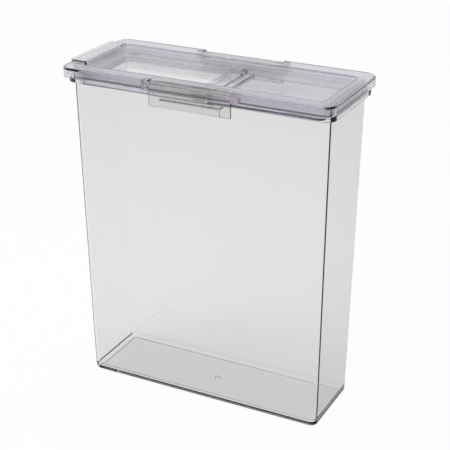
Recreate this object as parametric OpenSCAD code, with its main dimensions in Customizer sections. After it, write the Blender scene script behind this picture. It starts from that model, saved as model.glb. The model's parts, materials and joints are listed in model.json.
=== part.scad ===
// Tall clear bin for dry pet food. A lift-off lid is held by two swinging latches,
// and a hinged flap in the lid opens the pouring side.
// X runs along the width, the front faces -Y, and the base stands on Z = 0.

/* [Bin] */
// Width at the base
bin_w = 271; // [255:1:272]
// Depth at the base
bin_d = 86.5; // [86:0.1:87]
// Height of the rim
bin_h = 351; // [200:1:380]
// Thickness of the walls
bin_wall = 2.4; // [2.2:0.1:2.5]
// Thickness of the floor
bin_floor = 3; // [2.5:0.1:4]
// How far each wall leans out by the rim
bin_lean = 5.76; // [5.6:0.02:5.9]
// Radius of the upright corners
bin_corner = 6; // [5:0.5:8]
// Radius of the edge round the base
base_edge = 5; // [1.5:0.5:6]
// Radius round the floor inside
floor_edge = 7; // [1:0.5:8]
// How far the bead round the rim stands out
bead_out = 5.5; // [4:0.5:5.5]
// Height of the bead
bead_h = 5.8; // [4:0.1:6]
// Depth of the bead's underside below the rim
bead_drop = 10.8; // [9.5:0.1:11]

/* [Lid frame] */
// Width of the lid
lid_w = 297; // [296:1:304]
// Depth of the lid
lid_d = 126; // [125:0.5:130]
// Radius of the lid's corners, seen from above
lid_corner = 14; // [10:0.5:16]
// Thickness of the top plate
plate_t = 2.4; // [2:0.1:2.6]
// Height of the skirt below the top plate
skirt_h = 7.6; // [6:0.2:8]
// Thickness of the skirt
skirt_t = 2.4; // [2:0.1:3]
// Radius along the top outer edge
lid_edge = 1.6; // [1:0.1:2]
// Width of the recess in the lid
recess_w = 266; // [256:1:266]
// Depth of the recess in the lid, front to back
recess_d = 88; // [86:0.5:88]
// Thickness of the recess walls
recess_wall = 1.4; // [1.2:0.1:1.6]
// Depth of the fixed tray below the lid's top
tray_drop = 15.8; // [14:0.2:16]
// Width of the ledge that the flap closes on
ledge_w = 2.4; // [2.3:0.1:4]

/* [Pour flap] */
// Place of the hinge line from the lid's centre
hinge_x = 8.5; // [6:0.5:12]
// Radius of the hinge knuckle
knuckle_r = 4.5; // [4:0.1:4.5]
// Length of each hinge ear along the hinge line
ear_len = 7.5; // [7:0.5:9]
// Diameter of the hinge pins
hinge_pin_d = 3; // [2.5:0.1:3.2]
// Thickness of the flap's floor
flap_t = 2.5; // [2:0.1:2.5]
// Height of the flap's side walls above its floor
flap_side_h = 3.4; // [3:0.2:6]
// Gap between the flap and the recess
flap_gap = 0.6; // [0.5:0.1:0.8]
// Width of the lifting lip
lip_w = 78; // [50:1:80]
// How far the lifting lip stands out past the lid's edge
lip_over = 1.5; // [0:0.1:2]
// Thickness of the lifting lip
lip_t = 1.8; // [1.5:0.1:2.5]

/* [Latches] */
// Width of a latch
latch_w = 90; // [80:1:110]
// Height of a latch from the lid's top to the end of its tab
latch_h = 26.3; // [25:0.1:32]
// Thickness of a latch
latch_t = 2.4; // [2:0.1:2.6]
// Distance from the bin's middle to a latch's outer face
latch_reach = 61.3; // [61:0.1:62]
// Diameter of the latch pins
latch_pin_d = 2.4; // [2:0.1:2.6]
// Radius of the barrel round a latch pin
barrel_r = 2.8; // [2.5:0.1:2.8]
// Width of the hook that grips the bead
hook_w = 66; // [50:1:70]

/* [Hidden] */

$fn = 64;
clear_tint = [0.85, 0.86, 0.85, 0.4];
lid_tint = [0.78, 0.77, 0.84, 0.5];
latch_tint = [0.80, 0.80, 0.77, 0.5];
seal_tint = [0.90, 0.90, 0.92, 0.8];
steel_tint = [0.55, 0.55, 0.58];

eps = 0.01;
far = 400;
run_fit = 0.05;
press_gap = 0.01;

// Lid heights, worked up from the rim of the bin
seal_h = 3.9;
seal_rest = 0.2;
plate_bottom = bin_h + seal_h;
lid_top = plate_bottom + plate_t;
skirt_bottom = plate_bottom - skirt_h;
tray_floor = lid_top - tray_drop;
tray_t = 2.4;

// Flap heights, with the hinge line level with the top of the flap's floor
flap_floor = tray_floor + 2.5;
flap_under = flap_floor - flap_t;
hinge_z = flap_floor;
flap_seal_h = 2.7;
ledge_top = flap_under - flap_seal_h - seal_rest;
ledge_t = 1.8;
flap_side_top = flap_floor + flap_side_h;

// Flap plan, from the outer end wall to the hinge line
recess_corner = 4;
flap_left = -recess_w / 2 + flap_gap;
flap_half_d = recess_d / 2 - flap_gap;
flap_wall = 2;
flap_end = hinge_x + 1.5;
flap_len = flap_end - flap_left;
side_end = hinge_x - 11.5;
lip_gap = 0.2;
lip_root = 2.4;
lip_len = lid_w / 2 + flap_left + lip_over;

// Fixed bar between the flap and the tray, with a shelf towards the flap between the hinge ears
bar_left = hinge_x + knuckle_r + 1.2;
bar_right = hinge_x + 11.5;
bar_top = hinge_z;
bar_t = 2.4;
shelf_left = flap_end + 1.7;
shelf_half = flap_half_d - ear_len - 0.5;

// Pouring opening inside the ledge
pour_left = -recess_w / 2 + ledge_w;
pour_right = hinge_x - 18.5;
pour_len = pour_right - pour_left;
pour_d = recess_d - 2 * ledge_w;
pour_corner = 4;

// Latch line and notches
latch_y = latch_reach - barrel_r - 2.7;
latch_z = lid_top - barrel_r;
latch_gap = 0.5;
notch_back = latch_y - barrel_r - 0.4;
notch_half = latch_w / 2 + latch_gap;
cheek_w = 7;
bend_r = latch_reach - latch_y;
tab_bottom = lid_top - latch_h;
bead_under = bin_h - bead_drop;
root_bottom = bead_under + bead_h - 0.8;
hook_top = bead_under - 0.3;
hook_tip = bin_d / 2 + bin_lean + 1.5;
latch_pin_in = 7.5;

// Half sizes of the bin's outer walls at height z
function lean(z) = bin_lean * z / bin_h;
function half_w(z) = bin_w / 2 + lean(z);
function half_d(z) = bin_d / 2 + lean(z);

module rounded_rect(w, d, r) {
    square([w - 2 * r, d], center = true);
    square([w, d - 2 * r], center = true);
    for (sx = [-1, 1], sy = [-1, 1])
        translate([sx * (w / 2 - r), sy * (d / 2 - r)])
            circle(r);
}

// Rounded plate between two heights
module slab(w, d, r, z0, z1) {
    translate([0, 0, z0])
        linear_extrude(z1 - z0)
            rounded_rect(w, d, r);
}

// Box between two corners
module block(low, high) {
    translate(low)
        cube(high - low);
}

// Profile carried round a rounded rectangle. Its x is measured from the outline, inwards below zero.
module swept_ring(w, d, r) {
    for (turn = [0, 180])
        rotate([0, 0, turn]) {
            straight_run(d - 2 * r, w / 2)
                children();
            rotate([0, 0, 90])
                straight_run(w - 2 * r, d / 2)
                    children();
            corner_run(w / 2 - r, d / 2 - r, r, 0)
                children();
            corner_run(-w / 2 + r, d / 2 - r, r, 90)
                children();
        }
}

module straight_run(len, out) {
    rotate([90, 0, 0])
        linear_extrude(len, center = true)
            translate([out, 0])
                children();
}

module corner_run(x, y, r, turn) {
    translate([x, y, 0])
        rotate([0, 0, turn])
            rotate_extrude(angle = 90)
                translate([r, 0])
                    children();
}

// Profile drawn in Y and Z, extruded along X about the middle
module along_x(len) {
    rotate([90, 0, 90])
        linear_extrude(len, center = true)
            children();
}

// Profile drawn in X and Z, extruded along Y about the middle
module along_y(len) {
    rotate([90, 0, 0])
        linear_extrude(len, center = true)
            children();
}

// Leaning block with a rounded lower edge, drawn in from the outer walls by inset
module leaning_block(z0, z1, inset, corner, edge) {
    steps = 5;
    hull() {
        for (k = [0 : steps]) {
            turn = 90 * k / steps;
            rise = z0 + edge * (1 - cos(turn));
            draw = inset + edge * (1 - sin(turn));
            slab(2 * (half_w(rise) - draw), 2 * (half_d(rise) - draw), corner, rise, rise + eps);
        }
        slab(2 * (half_w(z1) - inset), 2 * (half_d(z1) - inset), corner, z1 - eps, z1);
    }
}

// Bead section with its outer edges rounded
module bead_profile() {
    round_r = 1.4;
    root = bead_out + bin_wall / 2;
    translate([-root, bead_under])
        square([root - round_r, bead_h]);
    translate([-root, bead_under + round_r])
        square([root, bead_h - 2 * round_r]);
    for (z = [round_r, bead_h - round_r])
        translate([-round_r, bead_under + z])
            circle(round_r);
}

// One-piece moulded bin, with a bead for the latches and a gate mark under the floor
module bin() {
    bead_r = bin_corner + bead_out;
    gate_dish_d = 6.5;
    gate_dish = 0.8;
    color(clear_tint)
        difference() {
            union() {
                leaning_block(0, bin_h, 0, bin_corner, base_edge);
                swept_ring(2 * (half_w(bead_under) + bead_out), 2 * (half_d(bead_under) + bead_out), bead_r)
                    bead_profile();
            }
            leaning_block(bin_floor, bin_h + 1, bin_wall, bin_corner - bin_wall, floor_edge);
            translate([0, 0, -eps])
                cylinder(h = gate_dish + eps, d = gate_dish_d);
        }
}

// Outer edge of the lid: plate margin, skirt and rounded top
module lid_edge_profile() {
    margin = 6;
    translate([-margin, plate_bottom])
        square([margin - lid_edge, plate_t]);
    translate([-skirt_t, skirt_bottom])
        square([skirt_t, lid_top - lid_edge - skirt_bottom]);
    translate([-lid_edge, lid_top - lid_edge])
        circle(lid_edge);
}

// Blocks at the ends of a latch notch that carry the latch pins
module latch_cheeks() {
    for (side = [-1, 1])
        translate([side * (notch_half + cheek_w / 2), -(lid_d / 2 + notch_back) / 2, 0])
            linear_extrude(plate_bottom - skirt_bottom + plate_t / 2)
                square([cheek_w, lid_d / 2 - notch_back - 1], center = true);
}

module latch_notch() {
    block([-notch_half, -far, skirt_bottom - 1], [notch_half, -notch_back, lid_top + 1]);
    translate([0, -latch_y, latch_z])
        rotate([0, 90, 0])
            cylinder(h = 2 * (notch_half + cheek_w - 0.5), d = latch_pin_d + 2 * press_gap, center = true);
}

module both_sides() {
    children();
    mirror([0, 1, 0])
        children();
}

// Part of the recess between two places along X, cut up from a height
module recess_cut(x0, x1, z0) {
    intersection() {
        slab(recess_w, recess_d, recess_corner, z0, lid_top + 1);
        block([x0, -far, z0 - 1], [x1, far, lid_top + 2]);
    }
}

// Room for the flap above the ledge, with the shelf of the bar left standing
module flap_room() {
    difference() {
        recess_cut(-far, bar_left, ledge_top);
        block([shelf_left, -shelf_half, bar_top - bar_t], [bar_left + eps, shelf_half, bar_top]);
    }
}

// Lid frame: flange and skirt over the rim, fixed tray, hinge bar and the ledge round the pouring opening
module lid_frame() {
    margin = 2 * lid_edge;
    recess_bottom = ledge_top - ledge_t;
    color(lid_tint)
        difference() {
            union() {
                swept_ring(lid_w, lid_d, lid_corner)
                    lid_edge_profile();
                slab(lid_w - margin, lid_d - margin, lid_corner - lid_edge, plate_bottom, lid_top);
                slab(recess_w + 2 * recess_wall, recess_d + 2 * recess_wall, recess_corner + recess_wall,
                    recess_bottom, lid_top);
                both_sides()
                    translate([0, 0, skirt_bottom])
                        latch_cheeks();
            }
            recess_cut(-far, far, bar_top);
            flap_room();
            recess_cut(bar_right, far, tray_floor);
            // Room below the bar and the fixed tray
            block([bar_left + bar_t, -far, recess_bottom - 1], [far, far, tray_floor - tray_t]);
            translate([(pour_left + pour_right) / 2, 0, 0])
                slab(pour_len, pour_d, pour_corner, recess_bottom - 1, ledge_top + 1);
            both_sides()
                latch_notch();
            translate([hinge_x, 0, hinge_z])
                rotate([90, 0, 0])
                    cylinder(h = recess_d + 2 * recess_wall + 1, d = hinge_pin_d + 2 * press_gap, center = true);
        }
}

// Soft ring section: flat on top, round where it seals
module seal_profile(w, top, bottom) {
    translate([-w, bottom + w / 2])
        square([w, top - bottom - w / 2]);
    translate([-w / 2, bottom + w / 2])
        circle(w / 2);
}

// Ring under the flange that seats on the rim of the bin, with a thin lip that wipes the inside of the walls
module lid_seal() {
    ring_w = 3.3;
    ring_out = 0.5;
    wiper_t = 0.6;
    wiper_fit = 0.15;
    wiper_bottom = tray_floor + 0.5;
    wiper_in = lean(bin_h) - lean(wiper_bottom) + ring_out + bin_wall + wiper_fit + wiper_t;
    color(seal_tint)
        swept_ring(2 * (half_w(bin_h) + ring_out), 2 * (half_d(bin_h) + ring_out), bin_corner + ring_out) {
            seal_profile(ring_w, plate_bottom, bin_h + seal_rest);
            translate([-wiper_in, wiper_bottom])
                square([wiper_t, plate_bottom - wiper_bottom]);
        }
}

// Section of a hinge ear: an arm that rises from the flap's floor to the knuckle
module ear_profile() {
    arm_start = hinge_x - 15.5;
    polygon([
        [arm_start, flap_under],
        [arm_start, flap_floor],
        [arm_start + 2.5, hinge_z + knuckle_r],
        [hinge_x, hinge_z + knuckle_r],
        [hinge_x, hinge_z - knuckle_r],
        [hinge_x - 6, flap_under]
    ]);
    translate([hinge_x, hinge_z])
        circle(knuckle_r);
}

// Pour flap: shallow dish with low sides, a lifting lip over the rim, a rib along the hinge end and two ears
module pour_flap() {
    lip_bottom = lid_top + lip_gap;
    lip_left = flap_left - lip_len;
    lip_corner = 4;
    flap_corner = recess_corner - flap_gap;
    rib_start = hinge_x - 10.5;
    rib_drop = 2;
    bore_len = ear_len - 0.6;
    color(lid_tint)
        difference() {
            union() {
                difference() {
                    translate([flap_left + flap_len, 0, 0])
                        slab(2 * flap_len, 2 * flap_half_d, flap_corner, flap_under, flap_side_top);
                    translate([flap_left + flap_len + lip_root, 0, 0])
                        slab(2 * flap_len, 2 * (flap_half_d - flap_wall), flap_corner - 1,
                            flap_floor, flap_side_top + 1);
                    block([flap_end, -far, 0], [far, far, far]);
                    block([side_end, -far, flap_floor], [far, far, far]);
                }
                block([rib_start, -flap_half_d, flap_under - rib_drop], [flap_end, flap_half_d, flap_under + eps]);
                block([flap_left, -lip_w / 2, flap_floor], [flap_left + lip_root, lip_w / 2, lip_bottom + lip_t]);
                intersection() {
                    translate([lip_left + lip_len, 0, 0])
                        slab(2 * lip_len, lip_w, lip_corner, lip_bottom, lip_bottom + lip_t);
                    block([-far, -far, 0], [flap_left + lip_root, far, far]);
                }
                for (side = [-1, 1])
                    translate([0, side * (flap_half_d - ear_len / 2), 0])
                        along_y(ear_len)
                            ear_profile();
            }
            for (side = [-1, 1])
                translate([hinge_x, side * (flap_half_d - bore_len / 2 + eps), hinge_z])
                    rotate([90, 0, 0])
                        cylinder(h = bore_len + 2 * eps, d = hinge_pin_d + 2 * run_fit, center = true);
        }
}

// Ring under the flap that closes on the ledge
module flap_seal() {
    ring_w = 1.4;
    ring_gap = 0.3;
    ring_left = pour_left - ring_w - ring_gap;
    ring_right = pour_right + ring_w + ring_gap;
    color(seal_tint)
        translate([(ring_left + ring_right) / 2, 0, 0])
            swept_ring(ring_right - ring_left, pour_d + 2 * (ring_w + ring_gap), pour_corner)
                seal_profile(ring_w, flap_under, ledge_top + seal_rest);
}

// Pin through a recess wall into the flap's knuckle, on the front for side -1 and on the rear for side 1
module flap_hinge_pin(side) {
    pin_in = ear_len - 1;
    inner = flap_half_d - pin_in;
    outer = recess_d / 2 + recess_wall - 0.1;
    color(steel_tint)
        translate([hinge_x, side * (inner + outer) / 2, hinge_z])
            rotate([90, 0, 0])
                cylinder(h = outer - inner, d = hinge_pin_d, center = true);
}

// Latch section: barrel round the pin, solid rounded shoulder with its root, and the flat tab
module latch_profile() {
    shoulder_z = lid_top - bend_r;
    root_foot = 0.6;
    end_r = latch_t / 2;
    translate([-latch_y, latch_z])
        circle(barrel_r);
    translate([-latch_y, shoulder_z])
        intersection() {
            circle(bend_r);
            translate([-bend_r, 0])
                square(bend_r);
        }
    polygon([
        [-latch_reach, root_bottom],
        [-latch_y - root_foot, root_bottom],
        [-latch_y, shoulder_z + eps],
        [-latch_reach, shoulder_z + eps]
    ]);
    translate([-latch_reach, tab_bottom + end_r])
        square([latch_t, root_bottom + eps - tab_bottom - end_r]);
    translate([-latch_reach + end_r, tab_bottom + end_r])
        circle(end_r);
}

// Hook section: a flat rib that reaches under the bead
module hook_profile() {
    hook_t = 1.8;
    root = latch_reach - latch_t + eps;
    translate([-root, hook_top - hook_t])
        square([root - hook_tip, hook_t]);
}

// Swinging latch with a raised finger pad, drawn on the front
module latch() {
    pad_w = 68;
    pad_h = 6.8;
    pad_t = 0.9;
    pad_bottom = tab_bottom + 0.6;
    bore_len = latch_pin_in + 0.4;
    color(latch_tint)
        difference() {
            union() {
                along_x(latch_w)
                    latch_profile();
                along_x(hook_w)
                    hook_profile();
                block([-pad_w / 2, -latch_reach - pad_t, pad_bottom],
                    [pad_w / 2, -latch_reach + eps, pad_bottom + pad_h]);
            }
            for (side = [-1, 1])
                translate([side * (latch_w / 2 - bore_len / 2 + eps), -latch_y, latch_z])
                    rotate([0, 90, 0])
                        cylinder(h = bore_len + 2 * eps, d = latch_pin_d + 2 * run_fit, center = true);
        }
}

module front_latch() {
    latch();
}

module rear_latch() {
    mirror([0, 1, 0])
        latch();
}

// Latch pin at one end of a latch: front is -1 and rear is 1, left is -1 and right is 1
module latch_pin(row, side) {
    inner = latch_w / 2 - latch_pin_in;
    outer = notch_half + cheek_w - 0.6;
    color(steel_tint)
        translate([side * (inner + outer) / 2, row * latch_y, latch_z])
            rotate([0, 90, 0])
                cylinder(h = outer - inner, d = latch_pin_d, center = true);
}

bin();
lid_frame();
lid_seal();
pour_flap();
flap_seal();
flap_hinge_pin(-1);  // flap_hinge_pin_front
flap_hinge_pin(1);  // flap_hinge_pin_rear
front_latch();
latch_pin(-1, -1);  // front_latch_pin_left
latch_pin(-1, 1);  // front_latch_pin_right
rear_latch();
latch_pin(1, -1);  // rear_latch_pin_left
latch_pin(1, 1);  // rear_latch_pin_right
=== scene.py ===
import json
import math

import bmesh
import bpy
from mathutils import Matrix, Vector


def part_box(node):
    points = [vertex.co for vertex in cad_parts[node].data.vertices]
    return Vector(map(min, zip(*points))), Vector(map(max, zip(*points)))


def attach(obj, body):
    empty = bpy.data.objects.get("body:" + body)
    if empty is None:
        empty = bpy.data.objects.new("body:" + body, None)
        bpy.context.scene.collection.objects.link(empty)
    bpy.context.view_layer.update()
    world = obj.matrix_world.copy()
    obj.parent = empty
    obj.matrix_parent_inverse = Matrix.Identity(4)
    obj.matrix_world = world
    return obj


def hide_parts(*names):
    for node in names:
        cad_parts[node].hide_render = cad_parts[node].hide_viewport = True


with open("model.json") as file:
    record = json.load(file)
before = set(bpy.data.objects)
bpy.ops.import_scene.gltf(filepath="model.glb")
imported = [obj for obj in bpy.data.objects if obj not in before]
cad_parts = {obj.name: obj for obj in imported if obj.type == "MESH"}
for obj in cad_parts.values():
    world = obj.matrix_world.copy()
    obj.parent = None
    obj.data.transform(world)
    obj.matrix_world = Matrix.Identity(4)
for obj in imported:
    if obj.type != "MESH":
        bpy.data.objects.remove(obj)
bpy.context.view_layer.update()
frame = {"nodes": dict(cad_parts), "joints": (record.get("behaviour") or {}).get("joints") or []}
scene = bpy.context.scene
mm = 0.001
print("frame loaded:", len(frame["nodes"]), "nodes")


def nodeBox(name):
    low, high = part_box(name)
    return low / mm, high / mm


def jointPlace(name):
    joint = next(joint for joint in frame["joints"] if joint["name"] == name)
    return Vector(joint["pos_m"]) / mm


def addNode(tree, kind, place=(0, 0), **sockets):
    node = tree.nodes.new(kind)
    node.location = place
    for name, value in sockets.items():
        node.inputs[name.replace("_", " ")].default_value = value
    return node


def newMaterial(name):
    material = bpy.data.materials.new(name)
    material.use_nodes = True
    material.node_tree.nodes.clear()
    return material, material.node_tree


# camera, at the photograph's angle

cameraSet = {
    "lens": 96.3,           # on a 36 mm wide sensor
    "azimuth": 27.0,
    "elevation": 24.0,
    "distance": 1.2707,
    "aimHeight": 0.18815,
    "aimRight": 0.0074,     # the bin stands a little left of the picture's middle
    "clip": (0.05, 50),
}


def makeCamera(view):
    turn, tilt = math.radians(view["azimuth"]), math.radians(view["elevation"])
    back = Vector((math.sin(turn) * math.cos(tilt), -math.cos(turn) * math.cos(tilt), math.sin(tilt)))
    right = Vector((math.cos(turn), math.sin(turn), 0))
    aim = Vector((0, 0, view["aimHeight"])) + right * view["aimRight"]
    bpy.ops.object.camera_add(location=aim + back * view["distance"])
    camera = bpy.context.object
    camera.rotation_euler = (-back).to_track_quat("-Z", "Y").to_euler()
    camera.data.lens = view["lens"]
    camera.data.clip_start, camera.data.clip_end = view["clip"]
    scene.camera = camera


makeCamera(cameraSet)
print("camera placed")


# room: white floor and background, soft lamps

roomSet = {
    "floorSize": 14.0,
    "floorDrop": 0.0002,                # just under the base, clear of its face
    "floorColour": (0.86, 0.86, 0.86, 1),
    "floorWhite": (0.97, 0.0, 0.65),    # plain white in the floor, seen straight, mirrored, through plastic
    "fillLight": 0.4,                   # world light on matt surfaces
    # world that is mirrored, from the horizon to straight up: the white end of the room and the dark one
    "whiteEnd": {
        0.00: (1.00, 1.00, 1.00, 1),
        0.20: (1.00, 1.00, 1.00, 1),
        0.45: (0.65, 0.64, 0.70, 1),
        0.70: (0.65, 0.64, 0.70, 1),
        0.86: (1.40, 1.40, 1.40, 1),
        1.00: (1.40, 1.40, 1.40, 1),
    },
    "darkEnd": {
        0.00: (1.00, 1.00, 1.00, 1),
        0.10: (0.60, 0.60, 0.62, 1),
        0.22: (0.15, 0.15, 0.18, 1),
        0.60: (0.15, 0.15, 0.18, 1),
        0.75: (0.80, 0.80, 0.82, 1),
        0.86: (1.40, 1.40, 1.40, 1),
        1.00: (1.40, 1.40, 1.40, 1),
    },
    "darkSide": (0.75, -0.66, 0),       # the dark end, in front and to the right
    "endsMeet": (-0.25, 0.35),          # from the white end to the dark one
    "bounces": 40,
    "mirrorBounces": 8,                 # light that runs on inside a wall is lost, so its edges show dark
}

lampSet = {
    "keyLamp": {"place": (-1.4, -1.6, 2.2), "aim": (0, 0, 0.2), "size": 1.2, "power": 14},
    "topLamp": {"place": (-0.35, 0, 1.1), "aim": (-0.35, 0, 0), "size": 0.6, "power": 5},
}


def seenShare(tree, shares):
    # share for a ray that sees straight, mirrored or through plastic, the last one first; 0 for matt surfaces
    path = addNode(tree, "ShaderNodeLightPath", (-1100, 300))
    total = None
    for way, share in zip(("Camera", "Glossy", "Transmission"), shares):
        mix = addNode(tree, "ShaderNodeMix", (-900, 300), B=share)
        tree.links.new(path.outputs["Is " + way + " Ray"], mix.inputs["Factor"])
        if total:
            tree.links.new(total.outputs[0], mix.inputs["A"])
        else:
            mix.inputs["A"].default_value = 0
        total = mix
    return total


def mixColours(tree, share, first, second, place):
    mix = addNode(tree, "ShaderNodeMix", place)
    mix.data_type = "RGBA"
    tree.links.new(share.outputs[0], mix.inputs["Factor"])
    for letter, colour in (("A", first), ("B", second)):
        socket = next(item for item in mix.inputs if item.name == letter and item.type == "RGBA")
        if isinstance(colour, tuple):
            socket.default_value = colour
        else:
            tree.links.new(colour, socket)
    return next(item for item in mix.outputs if item.type == "RGBA")


def makeWorld(room):
    world = bpy.data.worlds.new("studio")
    scene.world = world
    world.use_nodes = True
    tree = world.node_tree
    tree.nodes.clear()
    place = addNode(tree, "ShaderNodeTexCoord", (-1300, -100))
    split = addNode(tree, "ShaderNodeSeparateXYZ", (-1100, -100))
    tree.links.new(place.outputs["Generated"], split.inputs[0])
    ends = []
    for end in ("whiteEnd", "darkEnd"):
        ramp = addNode(tree, "ShaderNodeValToRGB", (-900, -100))
        stops = ramp.color_ramp.elements
        for height, colour in room[end].items():
            stop = stops[0] if height == 0 else stops[-1] if height == 1 else stops.new(height)
            stop.color = colour
        tree.links.new(split.outputs["Z"], ramp.inputs["Fac"])
        ends.append(ramp.outputs["Color"])
    towards = addNode(tree, "ShaderNodeVectorMath", (-1100, -300))
    towards.operation = "DOT_PRODUCT"
    towards.inputs[1].default_value = room["darkSide"]
    tree.links.new(place.outputs["Generated"], towards.inputs[0])
    white, dark = room["endsMeet"]
    side = addNode(tree, "ShaderNodeMapRange", (-900, -300), From_Min=white, From_Max=dark)
    tree.links.new(towards.outputs["Value"], side.inputs["Value"])
    sky = mixColours(tree, side, ends[0], ends[1], (-550, -100))
    fill = (room["fillLight"],) * 3 + (1,)
    level = mixColours(tree, seenShare(tree, (0, 1, 1)), fill, sky, (-350, 0))
    level = mixColours(tree, seenShare(tree, (1, 0, 0)), level, (1, 1, 1, 1), (-150, 0))
    back = addNode(tree, "ShaderNodeBackground", (0, 0), Strength=1.0)
    tree.links.new(level, back.inputs["Color"])
    out = addNode(tree, "ShaderNodeOutputWorld", (200, 0))
    tree.links.new(back.outputs[0], out.inputs["Surface"])


def makeFloor(room):
    bpy.ops.object.select_all(action="DESELECT")
    bpy.ops.mesh.primitive_plane_add(size=room["floorSize"], location=(0, 0, -room["floorDrop"]))
    floor = bpy.context.object
    floor.name = "floor"
    material, tree = newMaterial("floorPaper")
    share = seenShare(tree, room["floorWhite"])
    paper = addNode(tree, "ShaderNodeBsdfDiffuse", (-300, 0), Color=room["floorColour"])
    glow = addNode(tree, "ShaderNodeEmission", (-300, -150), Strength=1.0)
    mix = addNode(tree, "ShaderNodeMixShader", (0, 0))
    tree.links.new(share.outputs[0], mix.inputs[0])
    tree.links.new(paper.outputs[0], mix.inputs[1])
    tree.links.new(glow.outputs[0], mix.inputs[2])
    out = addNode(tree, "ShaderNodeOutputMaterial", (200, 0))
    tree.links.new(mix.outputs[0], out.inputs["Surface"])
    floor.data.materials.append(material)


def addLamp(name, light):
    # soft square lamp that neither mirrors nor shows through plastic
    place, aim = Vector(light["place"]), Vector(light["aim"])
    bpy.ops.object.light_add(type="AREA", location=place)
    lamp = bpy.context.object
    lamp.name = name
    lamp.data.energy = light["power"]
    lamp.data.size = light["size"]
    lamp.rotation_euler = (aim - place).to_track_quat("-Z", "Y").to_euler()
    lamp.visible_glossy = False
    lamp.visible_transmission = False


makeWorld(roomSet)
makeFloor(roomSet)
for name, light in lampSet.items():
    addLamp(name, light)
scene.view_settings.view_transform = "Standard"
scene.cycles.max_bounces = roomSet["bounces"]
scene.cycles.transmission_bounces = roomSet["bounces"]
scene.cycles.glossy_bounces = roomSet["mirrorBounces"]
print("room and lamps ready")


# plastics, silicone and steel

# gloss is the roughness of the smoothest and the dullest spots, a grain the scale and detail of its noise
plasticSet = {
    "bend": 1.53,                   # of light that enters
    "gloss": (0.01, 0.025),
    "glossGrain": (60, 3),
    "waveHigh": 0.03,               # millimetres
    "waveGrain": (14, 1),
    "waveStretch": (1, 1, 0.3),     # longer up the walls than along them
}

# colour at the surface, then the colour left by the thickness and how soon it shows
tintSet = {
    "bin": {"surface": (0.94, 0.939, 0.934, 1), "inside": (0.5, 0.5, 0.54, 1), "density": 8.0},
    "lid": {"surface": (0.925, 0.907, 0.948, 1), "inside": (0.5, 0.47, 0.58, 1), "density": 30.0},
    "flap": {"surface": (1.0, 1.0, 1.0, 1), "inside": (0.5, 0.48, 0.54, 1), "density": 22.0},
    "latch": {"surface": (0.9, 0.895, 0.885, 1), "inside": (0.5, 0.48, 0.46, 1), "density": 40.0},
}

siliconeSet = {
    "colour": (0.98, 0.97, 0.995, 1),
    "bend": 1.2,                    # low, as it lies close against plastic
    "gloss": (0.6, 0.7),
    "grain": (900, 4),
    "toothHigh": 0.02,
}

steelSet = {
    "colour": (0.5, 0.5, 0.52, 1),
    "gloss": (0.2, 0.35),
    "grain": (3000, 2),
    "scratchHigh": 0.005,
}

grainSpan = (0.3, 0.7)              # what soft noise mostly keeps between


def addGrain(tree, grain, stretch=(1, 1, 1)):
    # soft noise in the piece's own coordinates
    scale, detail = grain
    place = addNode(tree, "ShaderNodeTexCoord", (-1000, -200))
    stretched = addNode(tree, "ShaderNodeMapping", (-800, -200), Scale=stretch)
    noise = addNode(tree, "ShaderNodeTexNoise", (-600, -200), Scale=scale, Detail=detail)
    tree.links.new(place.outputs["Object"], stretched.inputs["Vector"])
    tree.links.new(stretched.outputs["Vector"], noise.inputs["Vector"])
    return noise.outputs["Fac"]


def roughenBy(tree, grain, shader, gloss):
    spread = addNode(tree, "ShaderNodeMapRange", (-300, -100), From_Min=grainSpan[0], From_Max=grainSpan[1],
                     To_Min=gloss[0], To_Max=gloss[1])
    tree.links.new(grain, spread.inputs["Value"])
    tree.links.new(spread.outputs["Result"], shader.inputs["Roughness"])


def raiseBy(tree, grain, shader, height):
    bump = addNode(tree, "ShaderNodeBump", (-300, -400), Strength=1.0, Distance=height * mm)
    tree.links.new(grain, bump.inputs["Height"])
    tree.links.new(bump.outputs["Normal"], shader.inputs["Normal"])


def addOutput(tree, shader):
    out = addNode(tree, "ShaderNodeOutputMaterial", (300, 0))
    tree.links.new(shader.outputs[0], out.inputs["Surface"])
    return out


def clearPlastic(name, look, tint):
    # polished, with the slow waves that the flow of the melt leaves along the walls
    material, tree = newMaterial(name)
    shader = addNode(tree, "ShaderNodeBsdfPrincipled", (0, 0), Base_Color=tint["surface"], IOR=look["bend"],
                     Transmission_Weight=1.0)
    roughenBy(tree, addGrain(tree, look["glossGrain"]), shader, look["gloss"])
    raiseBy(tree, addGrain(tree, look["waveGrain"], look["waveStretch"]), shader, look["waveHigh"])
    inside = addNode(tree, "ShaderNodeVolumeAbsorption", (0, -400), Color=tint["inside"],
                     Density=tint["density"])
    out = addOutput(tree, shader)
    tree.links.new(inside.outputs[0], out.inputs["Volume"])
    return material


def silicone(name, look):
    # milky clear, with the fine tooth of the mould
    material, tree = newMaterial(name)
    shader = addNode(tree, "ShaderNodeBsdfPrincipled", (0, 0), Base_Color=look["colour"], IOR=look["bend"],
                     Transmission_Weight=1.0)
    grain = addGrain(tree, look["grain"])
    roughenBy(tree, grain, shader, look["gloss"])
    raiseBy(tree, grain, shader, look["toothHigh"])
    addOutput(tree, shader)
    return material


def steel(name, look):
    # drawn, with fine scratches
    material, tree = newMaterial(name)
    shader = addNode(tree, "ShaderNodeBsdfPrincipled", (0, 0), Base_Color=look["colour"], Metallic=1.0)
    grain = addGrain(tree, look["grain"])
    roughenBy(tree, grain, shader, look["gloss"])
    raiseBy(tree, grain, shader, look["scratchHigh"])
    addOutput(tree, shader)
    return material


plastics = {name: clearPlastic(name + "Plastic", plasticSet, tint) for name, tint in tintSet.items()}
sealSilicone = silicone("sealSilicone", siliconeSet)
pinSteel = steel("pinSteel", steelSet)
print("materials ready")


# modelling steps, with sizes in millimetres

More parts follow.
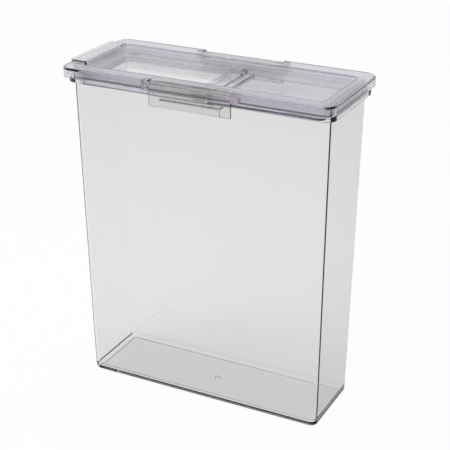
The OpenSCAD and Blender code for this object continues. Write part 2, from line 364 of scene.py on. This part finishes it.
samePlace = 0.02        # how near counts as the same place
straightUp = 0.99       # upright share from which a direction counts as straight up or down
mergeGap = 0.005
flatAngle = 0.5         # degrees, up to which neighbours become one face
sharpAngle = 40         # degrees, from which an edge is softened or shown sharp
past = 1.0              # how far a cutting tool runs past what it cuts
sink = 1.0              # how far a part starts inside the one that carries it
rodSides = 48
boreSides = 32


def startBox(name, low, high):
    low, high = Vector(low) * mm, Vector(high) * mm
    bpy.ops.object.select_all(action="DESELECT")
    bpy.ops.mesh.primitive_cube_add(size=1, location=(low + high) / 2)
    piece = bpy.context.object
    piece.name = name
    piece.scale = high - low
    bpy.ops.object.transform_apply(location=True, rotation=True, scale=True)
    return piece


def startRod(name, start, end, radius, sides=rodSides):
    start, end = Vector(start) * mm, Vector(end) * mm
    bpy.ops.object.select_all(action="DESELECT")
    bpy.ops.mesh.primitive_cylinder_add(vertices=sides, radius=radius * mm, depth=(end - start).length,
                                        location=(start + end) / 2)
    piece = bpy.context.object
    piece.name = name
    piece.rotation_euler = (end - start).to_track_quat("Z", "Y").to_euler()
    bpy.ops.object.transform_apply(location=True, rotation=True, scale=True)
    return piece


def makeActive(piece):
    if bpy.context.mode != "OBJECT":
        bpy.ops.object.mode_set(mode="OBJECT")
    bpy.ops.object.select_all(action="DESELECT")
    bpy.context.view_layer.objects.active = piece
    piece.select_set(True)


def pick(piece, kind, test):
    # edit mode, with only the corners, edges or faces selected that pass the test
    if bpy.context.mode == "OBJECT":
        makeActive(piece)
        bpy.ops.object.mode_set(mode="EDIT")
    bpy.ops.mesh.select_mode(type=kind)
    bpy.ops.mesh.select_all(action="DESELECT")
    shape = bmesh.from_edit_mesh(piece.data)
    parts = {"VERT": shape.verts, "EDGE": shape.edges, "FACE": shape.faces}[kind]
    for part in parts:
        if test(part):
            part.select_set(True)
    bmesh.update_edit_mesh(piece.data)


def leaveEdit():
    bpy.ops.object.mode_set(mode="OBJECT")


def nearTo(value, goal):
    return abs(value / mm - goal) < samePlace


def pickEdge(piece, x=None, y=None, z=None):
    # edges that lie whole at the places given
    goals = [(axis, goal) for axis, goal in enumerate((x, y, z)) if goal is not None]

    def wanted(edge):
        return all(nearTo(corner.co[axis], goal) for corner in edge.verts for axis, goal in goals)

    pick(piece, "EDGE", wanted)


def slide(x, y, z):
    bpy.ops.transform.translate(value=(x * mm, y * mm, z * mm))


def roundPicked(radius, steps):
    bpy.ops.mesh.bevel(offset=radius * mm, segments=steps, affect="EDGES")
    leaveEdit()


def roundUprights(piece, radius, steps, side=0):
    # rounds the upright edges, or only those at one end along X
    ends = [corner[0] for corner in piece.bound_box]
    centre = (min(ends) + max(ends)) / 2

    def wanted(edge):
        first, second = edge.verts[0].co, edge.verts[1].co
        upright = abs((second - first).normalized().z) > straightUp
        return upright and (first.x - centre) * side >= 0

    pick(piece, "EDGE", wanted)
    roundPicked(radius, steps)


def pickLevel(piece, height):
    # flat faces at a height

    def wanted(face):
        return abs(face.normal.z) > straightUp and nearTo(face.calc_center_median().z, height)

    pick(piece, "FACE", wanted)


def roundLevel(piece, height, radius, steps):
    # rounds the outline of the flat face at a height
    pickLevel(piece, height)
    bpy.ops.mesh.region_to_loop()
    roundPicked(radius, steps)


def combine(piece, other, how):
    makeActive(piece)
    step = piece.modifiers.new("combine", "BOOLEAN")
    step.operation, step.object, step.solver = how, other, "EXACT"
    bpy.ops.object.modifier_apply(modifier=step.name)
    bpy.data.objects.remove(other)


def cut(piece, other):
    combine(piece, other, "DIFFERENCE")


def join(piece, other):
    combine(piece, other, "UNION")


def roundedCut(piece, low, high, corner, side=0):
    tool = startBox("tool", low, high)
    roundUprights(tool, corner, steps=6, side=side)
    cut(piece, tool)


def rodThrough(name, pin, gap, sides):
    # rod along a pin's own longest side, wider and longer by gap
    low, high = nodeBox(pin)
    size = high - low
    axis = max(range(3), key=lambda k: size[k])
    start, end = (low + high) / 2, (low + high) / 2
    start[axis], end[axis] = low[axis] - gap, high[axis] + gap
    return startRod(name, start, end, min(size) / 2 + gap, sides)


def cutBores(piece, pins, gap):
    for pin in pins:
        cut(piece, rodThrough("bore", pin, gap, boreSides))


def smoothFaces(piece):
    makeActive(piece)
    bpy.ops.object.shade_smooth_by_angle(angle=math.radians(sharpAngle))
    step = piece.modifiers.new("evenNormals", "WEIGHTED_NORMAL")
    step.keep_sharp = True
    bpy.ops.object.modifier_apply(modifier=step.name)


def softenEdges(piece, width, steps=2):
    # merges flat neighbours, then rounds every sharp edge a little
    pick(piece, "VERT", lambda corner: True)
    bpy.ops.mesh.remove_doubles(threshold=mergeGap * mm)
    bpy.ops.mesh.dissolve_limited(angle_limit=math.radians(flatAngle))
    leaveEdit()
    step = piece.modifiers.new("soften", "BEVEL")
    step.width, step.segments = width * mm, steps
    step.limit_method, step.angle_limit = "ANGLE", math.radians(sharpAngle)
    step.use_clamp_overlap = False
    bpy.ops.object.modifier_apply(modifier=step.name)
    smoothFaces(piece)


def onSide(sign, near, far):
    # the stretch from near to far on one side of the middle, lowest first
    return sorted((sign * near, sign * far))


def fitPiece(piece, body, node, material):
    piece.data.materials.clear()
    piece.data.materials.append(material)
    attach(piece, body)
    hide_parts(node)
    print(piece.name, "modelled:", len(piece.data.polygons), "faces")


hinge = jointPlace("flap_hinge")
latchLine = jointPlace("front_latch_swing")
hingePins = [name for name in frame["nodes"] if name.startswith("flap_hinge_pin")]
latchPins = [name for name in frame["nodes"] if "latch_pin" in name]
frontPins = [name for name in latchPins if name.startswith("front")]


# bin: leaning walls, bead round the rim, gate mark under the floor

binSet = {
    "wall": 2.4,
    "floor": 3.0,
    "lean": 5.76,           # of each wall, from base to rim
    "corner": 6.0,
    "baseEdge": 5.0,
    "floorEdge": 7.0,       # round the floor inside
    "beadOut": 5.5,
    "beadHeight": 5.8,
    "beadDrop": 10.8,       # from the rim to the bead's underside
    "beadEdge": 0.4,        # crisp, so that it shows as a thin line
    "gateWidth": 6.5,
    "gateDepth": 0.8,
    "soften": 0.7,
}

rim = nodeBox("bin")[1].z
beadUnder = rim - binSet["beadDrop"]
beadTop = beadUnder + binSet["beadHeight"]


def widen(wide, deep, grow):
    # the selected outline, of these half sizes, grows or draws in all round
    bpy.ops.transform.resize(value=(1 + grow / wide, 1 + grow / deep, 1), center_override=(0, 0, 0))


def leaningBox(name, wide, deep, bottom, top, grow, corner, edge, steps=8):
    # box of these half sizes, wider by grow on every side at its top, with a round lower edge
    piece = startBox(name, (-wide, -deep, bottom + edge), (wide, deep, top))
    roundUprights(piece, corner, steps)
    pickLevel(piece, top)
    widen(wide, deep, grow)
    pickLevel(piece, bottom + edge)
    drawn, sunk = 0, 0
    for k in range(1, steps + 1):
        turn = math.pi / 2 * k / steps
        bpy.ops.mesh.extrude_region_move()
        slide(0, 0, sunk - edge * math.sin(turn))
        widen(wide - drawn, deep - drawn, drawn - edge * (1 - math.cos(turn)))
        drawn, sunk = edge * (1 - math.cos(turn)), edge * math.sin(turn)
    leaveEdit()
    return piece


def makeBin(sizes):
    low, high = nodeBox("bin")
    perHeight = sizes["lean"] / rim
    spread = sizes["beadOut"] + perHeight * beadUnder
    wide, deep, floor = high.x - spread, high.y - spread, sizes["floor"]
    tub = leaningBox("binShell", wide, deep, 0, rim, sizes["lean"], sizes["corner"], sizes["baseEdge"])
    bead = startBox("bead", (low.x, low.y, beadUnder), (high.x, high.y, beadTop))
    roundUprights(bead, sizes["corner"] + sizes["beadOut"], steps=10)
    for level in (beadUnder, beadTop):
        roundLevel(bead, level, sizes["beadEdge"], steps=4)
    join(tub, bead)
    over = rim + past
    inset = sizes["wall"] - perHeight * floor
    room = leaningBox("room", wide - inset, deep - inset, floor, over, perHeight * (over - floor),
                      sizes["corner"] - sizes["wall"], sizes["floorEdge"])
    cut(tub, room)
    cut(tub, startRod("gate", (0, 0, -past), (0, 0, sizes["gateDepth"]), sizes["gateWidth"] / 2))
    softenEdges(tub, sizes["soften"], steps=3)
    return tub


fitPiece(makeBin(binSet), "bin", "bin", plastics["bin"])


# lid frame: flange and skirt, fixed tray, hinge bar, ledge round the pouring opening, latch notches

lidSet = {
    "skirt": 10.0,          # from the lid's top to the skirt's edge
    "skirtWall": 2.4,
    "plate": 2.4,
    "corner": 14.0,
    "topEdge": 1.6,
    "recessWide": 133.0,    # half sizes of the recess
    "recessDeep": 44.0,
    "recessCorner": 4.0,
    "recessWall": 1.4,
    "trayDrop": 15.8,
    "trayThick": 2.4,
    "ledge": 2.4,           # width round the pouring opening
    "ledgeThick": 1.8,
    "barStart": 5.7,        # of the fixed bar, right of the hinge line
    "barEnd": 11.5,
    "barThick": 2.4,
    "shelfStart": 3.2,
    "shelfHalf": 35.4,
    "pourEnd": 18.5,        # of the pouring opening, left of the hinge line
    "notchHalf": 45.5,
    "notchBack": 52.6,
    "cheek": 7.0,
    "cheekBack": 53.1,
    "cheekFront": 62.5,
    "boreGap": 0.01,
    "soften": 0.45,
}


def makeFlange(sizes, low, high):
    # plate with a skirt all round, hollow below
    top, skirtEdge = high.z, high.z - sizes["skirt"]
    lid = startBox("lidBody", (low.x, low.y, skirtEdge), (high.x, high.y, top))
    roundUprights(lid, sizes["corner"], steps=12)
    roundLevel(lid, top, sizes["topEdge"], steps=4)
    pickLevel(lid, skirtEdge)
    bpy.ops.mesh.inset(thickness=sizes["skirtWall"] * mm)
    bpy.ops.mesh.extrude_region_move()
    slide(0, 0, sizes["skirt"] - sizes["plate"])
    leaveEdit()
    return lid


def addRecess(lid, sizes, top, under):
    # one well, cut to a depth of its own for the flap's side, the bar and the tray
    wide, deep, wall = sizes["recessWide"], sizes["recessDeep"], sizes["recessWall"]
    corner, over = sizes["recessCorner"], top + past
    well = startBox("well", (-wide - wall, -deep - wall, under), (wide + wall, deep + wall, top))
    roundUprights(well, corner + wall, steps=8)
    join(lid, well)
    ledgeTop, trayFloor = under + sizes["ledgeThick"], top - sizes["trayDrop"]
    barLeft, barRight = hinge.x + sizes["barStart"], hinge.x + sizes["barEnd"]
    roundedCut(lid, (-wide, -deep, hinge.z), (wide, deep, over), corner)
    roundedCut(lid, (-wide, -deep, ledgeTop), (barLeft, deep, over), corner, side=-1)
    roundedCut(lid, (barRight, -deep, trayFloor), (wide, deep, over), corner, side=1)
    outside = deep + wall + past
    cut(lid, startBox("underTray", (barLeft + sizes["barThick"], -outside, under - past),
                      (wide + wall + past, outside, trayFloor - sizes["trayThick"])))
    shelfLeft, shelfHalf = hinge.x + sizes["shelfStart"], sizes["shelfHalf"]
    join(lid, startBox("shelf", (shelfLeft, -shelfHalf, hinge.z - sizes["barThick"]),
                       (barLeft + sink, shelfHalf, hinge.z)))
    pourLeft, pourRight = sizes["ledge"] - wide, hinge.x - sizes["pourEnd"]
    pourDeep = deep - sizes["ledge"]
    roundedCut(lid, (pourLeft, -pourDeep, under - past), (pourRight, pourDeep, ledgeTop + past), corner)


def addNotches(lid, sizes, top, edge):
    # a notch for each latch, with cheeks for its pins that end inside the plate
    half, skirtEdge = sizes["notchHalf"], top - sizes["skirt"]
    for front in (-1, 1):
        y0, y1 = onSide(front, sizes["notchBack"], edge + past)
        cut(lid, startBox("notch", (-half, y0, skirtEdge - past), (half, y1, top + past)))
        y0, y1 = onSide(front, sizes["cheekBack"], sizes["cheekFront"])
        for side in (-1, 1):
            x0, x1 = onSide(side, half, half + sizes["cheek"])
            join(lid, startBox("cheek", (x0, y0, skirtEdge), (x1, y1, top - sizes["plate"] / 2)))


def makeLid(sizes):
    low, high = nodeBox("lid_frame")
    lid = makeFlange(sizes, low, high)
    addRecess(lid, sizes, high.z, low.z)
    addNotches(lid, sizes, high.z, high.y)
    cutBores(lid, hingePins + latchPins, sizes["boreGap"])
    softenEdges(lid, sizes["soften"])
    return lid


fitPiece(makeLid(lidSet), "lid", "lid_frame", plastics["lid"])


# pour flap: dish with low sides, lifting lip, rib and ears at the hinge end

flapSet = {
    "gap": 0.6,             # to the recess
    "floorThick": 2.5,
    "sideHigh": 3.4,
    "sideWall": 2.0,
    "sideEnd": 11.5,        # of the side walls, left of the hinge line
    "endWall": 2.4,
    "corner": 3.4,
    "innerCorner": 2.4,
    "pastHinge": 1.5,
    "ribStart": 10.5,       # left of the hinge line
    "ribDrop": 2.0,
    "lipHalf": 39.0,
    "lipThick": 1.8,
    "lipCorner": 4.0,
    "earLong": 7.5,
    "earStart": 15.5,       # left of the hinge line
    "earSlope": 2.5,
    "knuckle": 4.5,
    "boreGap": 0.05,
    "soften": 0.4,
}


def makeDish(sizes, left, end, deep):
    # floor level with the hinge line, and low walls on three sides that run into the ears
    floor = hinge.z
    under, sideTop = floor - sizes["floorThick"], floor + sizes["sideHigh"]
    flap = startBox("flapBody", (left, -deep, under), (end, deep, sideTop))
    roundUprights(flap, sizes["corner"], steps=6, side=-1)
    inner, sideRoom = left + sizes["endWall"], deep - sizes["sideWall"]
    pastEnd, over = end + past, sideTop + past
    roundedCut(flap, (inner, -sideRoom, floor), (pastEnd, sideRoom, over), sizes["innerCorner"], side=-1)
    cut(flap, startBox("pastSides", (hinge.x - sizes["sideEnd"], -deep - past, floor),
                       (pastEnd, deep + past, over)))
    join(flap, startBox("rib", (hinge.x - sizes["ribStart"], -deep, under - sizes["ribDrop"]),
                        (end, deep, under + sink)))
    return flap


def addLip(flap, sizes, left, tip, top):
    half, inner = sizes["lipHalf"], left + sizes["endWall"]
    join(flap, startBox("lipRoot", (left, -half, hinge.z - sink), (inner, half, top)))
    lip = startBox("lip", (tip, -half, top - sizes["lipThick"]), (inner, half, top))
    roundUprights(lip, sizes["lipCorner"], steps=6, side=-1)
    join(flap, lip)


def addEars(flap, sizes, deep):
    # an ear at each end of the hinge line, sloped at the left and round over its pin
    start, under = hinge.x - sizes["earStart"], hinge.z - sizes["floorThick"]
    top = hinge.z + sizes["knuckle"]
    for side in (-1, 1):
        y0, y1 = onSide(side, deep - sizes["earLong"], deep)
        ear = startBox("ear", (start, y0, under), (hinge.x, y1, top))
        pickEdge(ear, x=start, z=top)
        slide(sizes["earSlope"], 0, 0)
        leaveEdit()
        join(flap, ear)
        join(flap, startRod("knuckle", (hinge.x, y0, hinge.z), (hinge.x, y1, hinge.z), sizes["knuckle"]))


def makeFlap(sizes):
    low, high = nodeBox("pour_flap")
    left, end = sizes["gap"] - lidSet["recessWide"], hinge.x + sizes["pastHinge"]
    flap = makeDish(sizes, left, end, high.y)
    addLip(flap, sizes, left, low.x, high.z)
    addEars(flap, sizes, high.y)
    cutBores(flap, hingePins, sizes["boreGap"])
    softenEdges(flap, sizes["soften"])
    return flap


fitPiece(makeFlap(flapSet), "flap", "pour_flap", plastics["flap"])


# latches: tab, rolled shoulder, barrel on the pins, hook under the bead

latchSet = {
    "thick": 2.4,
    "barrel": 2.8,
    "shoulderFlat": 0.05,   # kept at the top when the shoulder is rolled
    "tabEnd": 1.1,          # radius along the tab's lower end
    "hookHalf": 33.0,
    "hookGap": 0.3,         # under the bead
    "hookThick": 1.8,
    "rootDrop": 0.8,        # of the solid root's underside, below the bead's top
    "rootFoot": 0.6,        # before the pin line at its foot
    "padHalf": 34.0,        # finger pad on the tab
    "padHigh": 6.8,
    "padUp": 0.6,           # above the tab's end
    "padThick": 0.9,
    "boreGap": 0.05,
    "soften": 0.4,
}


def makeLatch(sizes):
    low, high = nodeBox("front_latch")
    half, bottom, top = high.x, low.z, high.z
    face, pinY, pinZ = low.y + sizes["padThick"], latchLine.y, latchLine.z
    back, root = face + sizes["thick"], beadTop - sizes["rootDrop"]
    latch = startBox("frontLatchBody", (-half, face, root), (half, pinY, top))
    pickEdge(latch, y=face, z=top)
    roundPicked(pinY - face - sizes["shoulderFlat"], steps=10)
    pickEdge(latch, y=pinY, z=root)
    slide(0, -sizes["rootFoot"], 0)
    leaveEdit()
    join(latch, startRod("barrel", (-half, pinY, pinZ), (half, pinY, pinZ), sizes["barrel"]))
    tab = startBox("tab", (-half, face, bottom), (half, back, root + sink))
    roundLevel(tab, bottom, sizes["tabEnd"], steps=4)
    join(latch, tab)
    hookTop, hookHalf = beadUnder - sizes["hookGap"], sizes["hookHalf"]
    join(latch, startBox("hook", (-hookHalf, back - sink, hookTop - sizes["hookThick"]),
                         (hookHalf, high.y, hookTop)))
    padLow, padHalf = bottom + sizes["padUp"], sizes["padHalf"]
    join(latch, startBox("pad", (-padHalf, low.y, padLow),
                         (padHalf, face + sink, padLow + sizes["padHigh"])))
    cutBores(latch, frontPins, sizes["boreGap"])
    softenEdges(latch, sizes["soften"])
    return latch


def copyToRear(latch):
    makeActive(latch)
    bpy.ops.object.duplicate()
    rear = bpy.context.object
    rear.name = "rearLatchBody"
    rear.scale = (1, -1, 1)
    bpy.ops.object.transform_apply(location=True, rotation=True, scale=True)
    pick(rear, "FACE", lambda face: True)
    bpy.ops.mesh.normals_make_consistent(inside=False)
    leaveEdit()
    smoothFaces(rear)
    return rear


frontLatch = makeLatch(latchSet)
rearLatch = copyToRear(frontLatch)
fitPiece(frontLatch, "front_latch", "front_latch", plastics["latch"])
fitPiece(rearLatch, "rear_latch", "rear_latch", plastics["latch"])


# seals: rings that are flat on top and round where they close; the lid's has a lip that wipes the walls

sealSet = {
    "lid": {
        "corner": 6.5,
        "width": 3.3,
        "high": 3.7,
        "wiper": 0.6,       # thickness of the lip
        "wiperIn": 3.2,     # from the ring's outside
    },
    "flap": {
        "corner": 4.0,
        "width": 1.4,
        "high": 2.7,
    },
}

sealGap = 0.04              # over a seal, as faces that lie in one plane would not refract
sealRound = 0.48            # share of the width that is rounded away on each side below


def makeRing(name, low, high, corner, width):
    ring = startBox(name, low, high)
    roundUprights(ring, corner, steps=8)
    for level in (low.z, high.z):
        pickLevel(ring, level)
        bpy.ops.mesh.inset(thickness=width * mm)
        leaveEdit()
    middle = (low + high) / 2

    def inMiddle(face):
        centre = face.calc_center_median()
        return nearTo(centre.x, middle.x) and nearTo(centre.y, middle.y)

    pick(ring, "FACE", inMiddle)
    bpy.ops.mesh.bridge_edge_loops()
    leaveEdit()
    return ring


def makeSeal(name, sizes):
    low, high = nodeBox(name + "_seal")
    ringLow = Vector((low.x, low.y, high.z - sizes["high"]))
    high.z -= sealGap
    seal = makeRing(name + "Gasket", ringLow, high, sizes["corner"], sizes["width"])
    roundLevel(seal, ringLow.z, sizes["width"] * sealRound, steps=4)
    if "wiper" in sizes:
        inner = sizes["wiperIn"]
        step = Vector((inner, inner, 0))
        join(seal, makeRing("wiper", low + step, high - step, sizes["corner"] - inner, sizes["wiper"]))
    smoothFaces(seal)
    return seal


for body, sizes in sealSet.items():
    fitPiece(makeSeal(body, sizes), body, body + "_seal", sealSilicone)


# pins: drawn steel with rounded ends

pinSet = {
    "sides": 40,
    "endEdge": 0.3,
}


def makePin(node, sizes):
    pin = rodThrough(node + "Rod", node, gap=0, sides=sizes["sides"])
    pick(pin, "FACE", lambda face: len(face.verts) == sizes["sides"])
    bpy.ops.mesh.region_to_loop()
    roundPicked(sizes["endEdge"], steps=2)
    smoothFaces(pin)
    return pin


for node in hingePins + latchPins:
    fitPiece(makePin(node, pinSet), "lid", node, pinSteel)
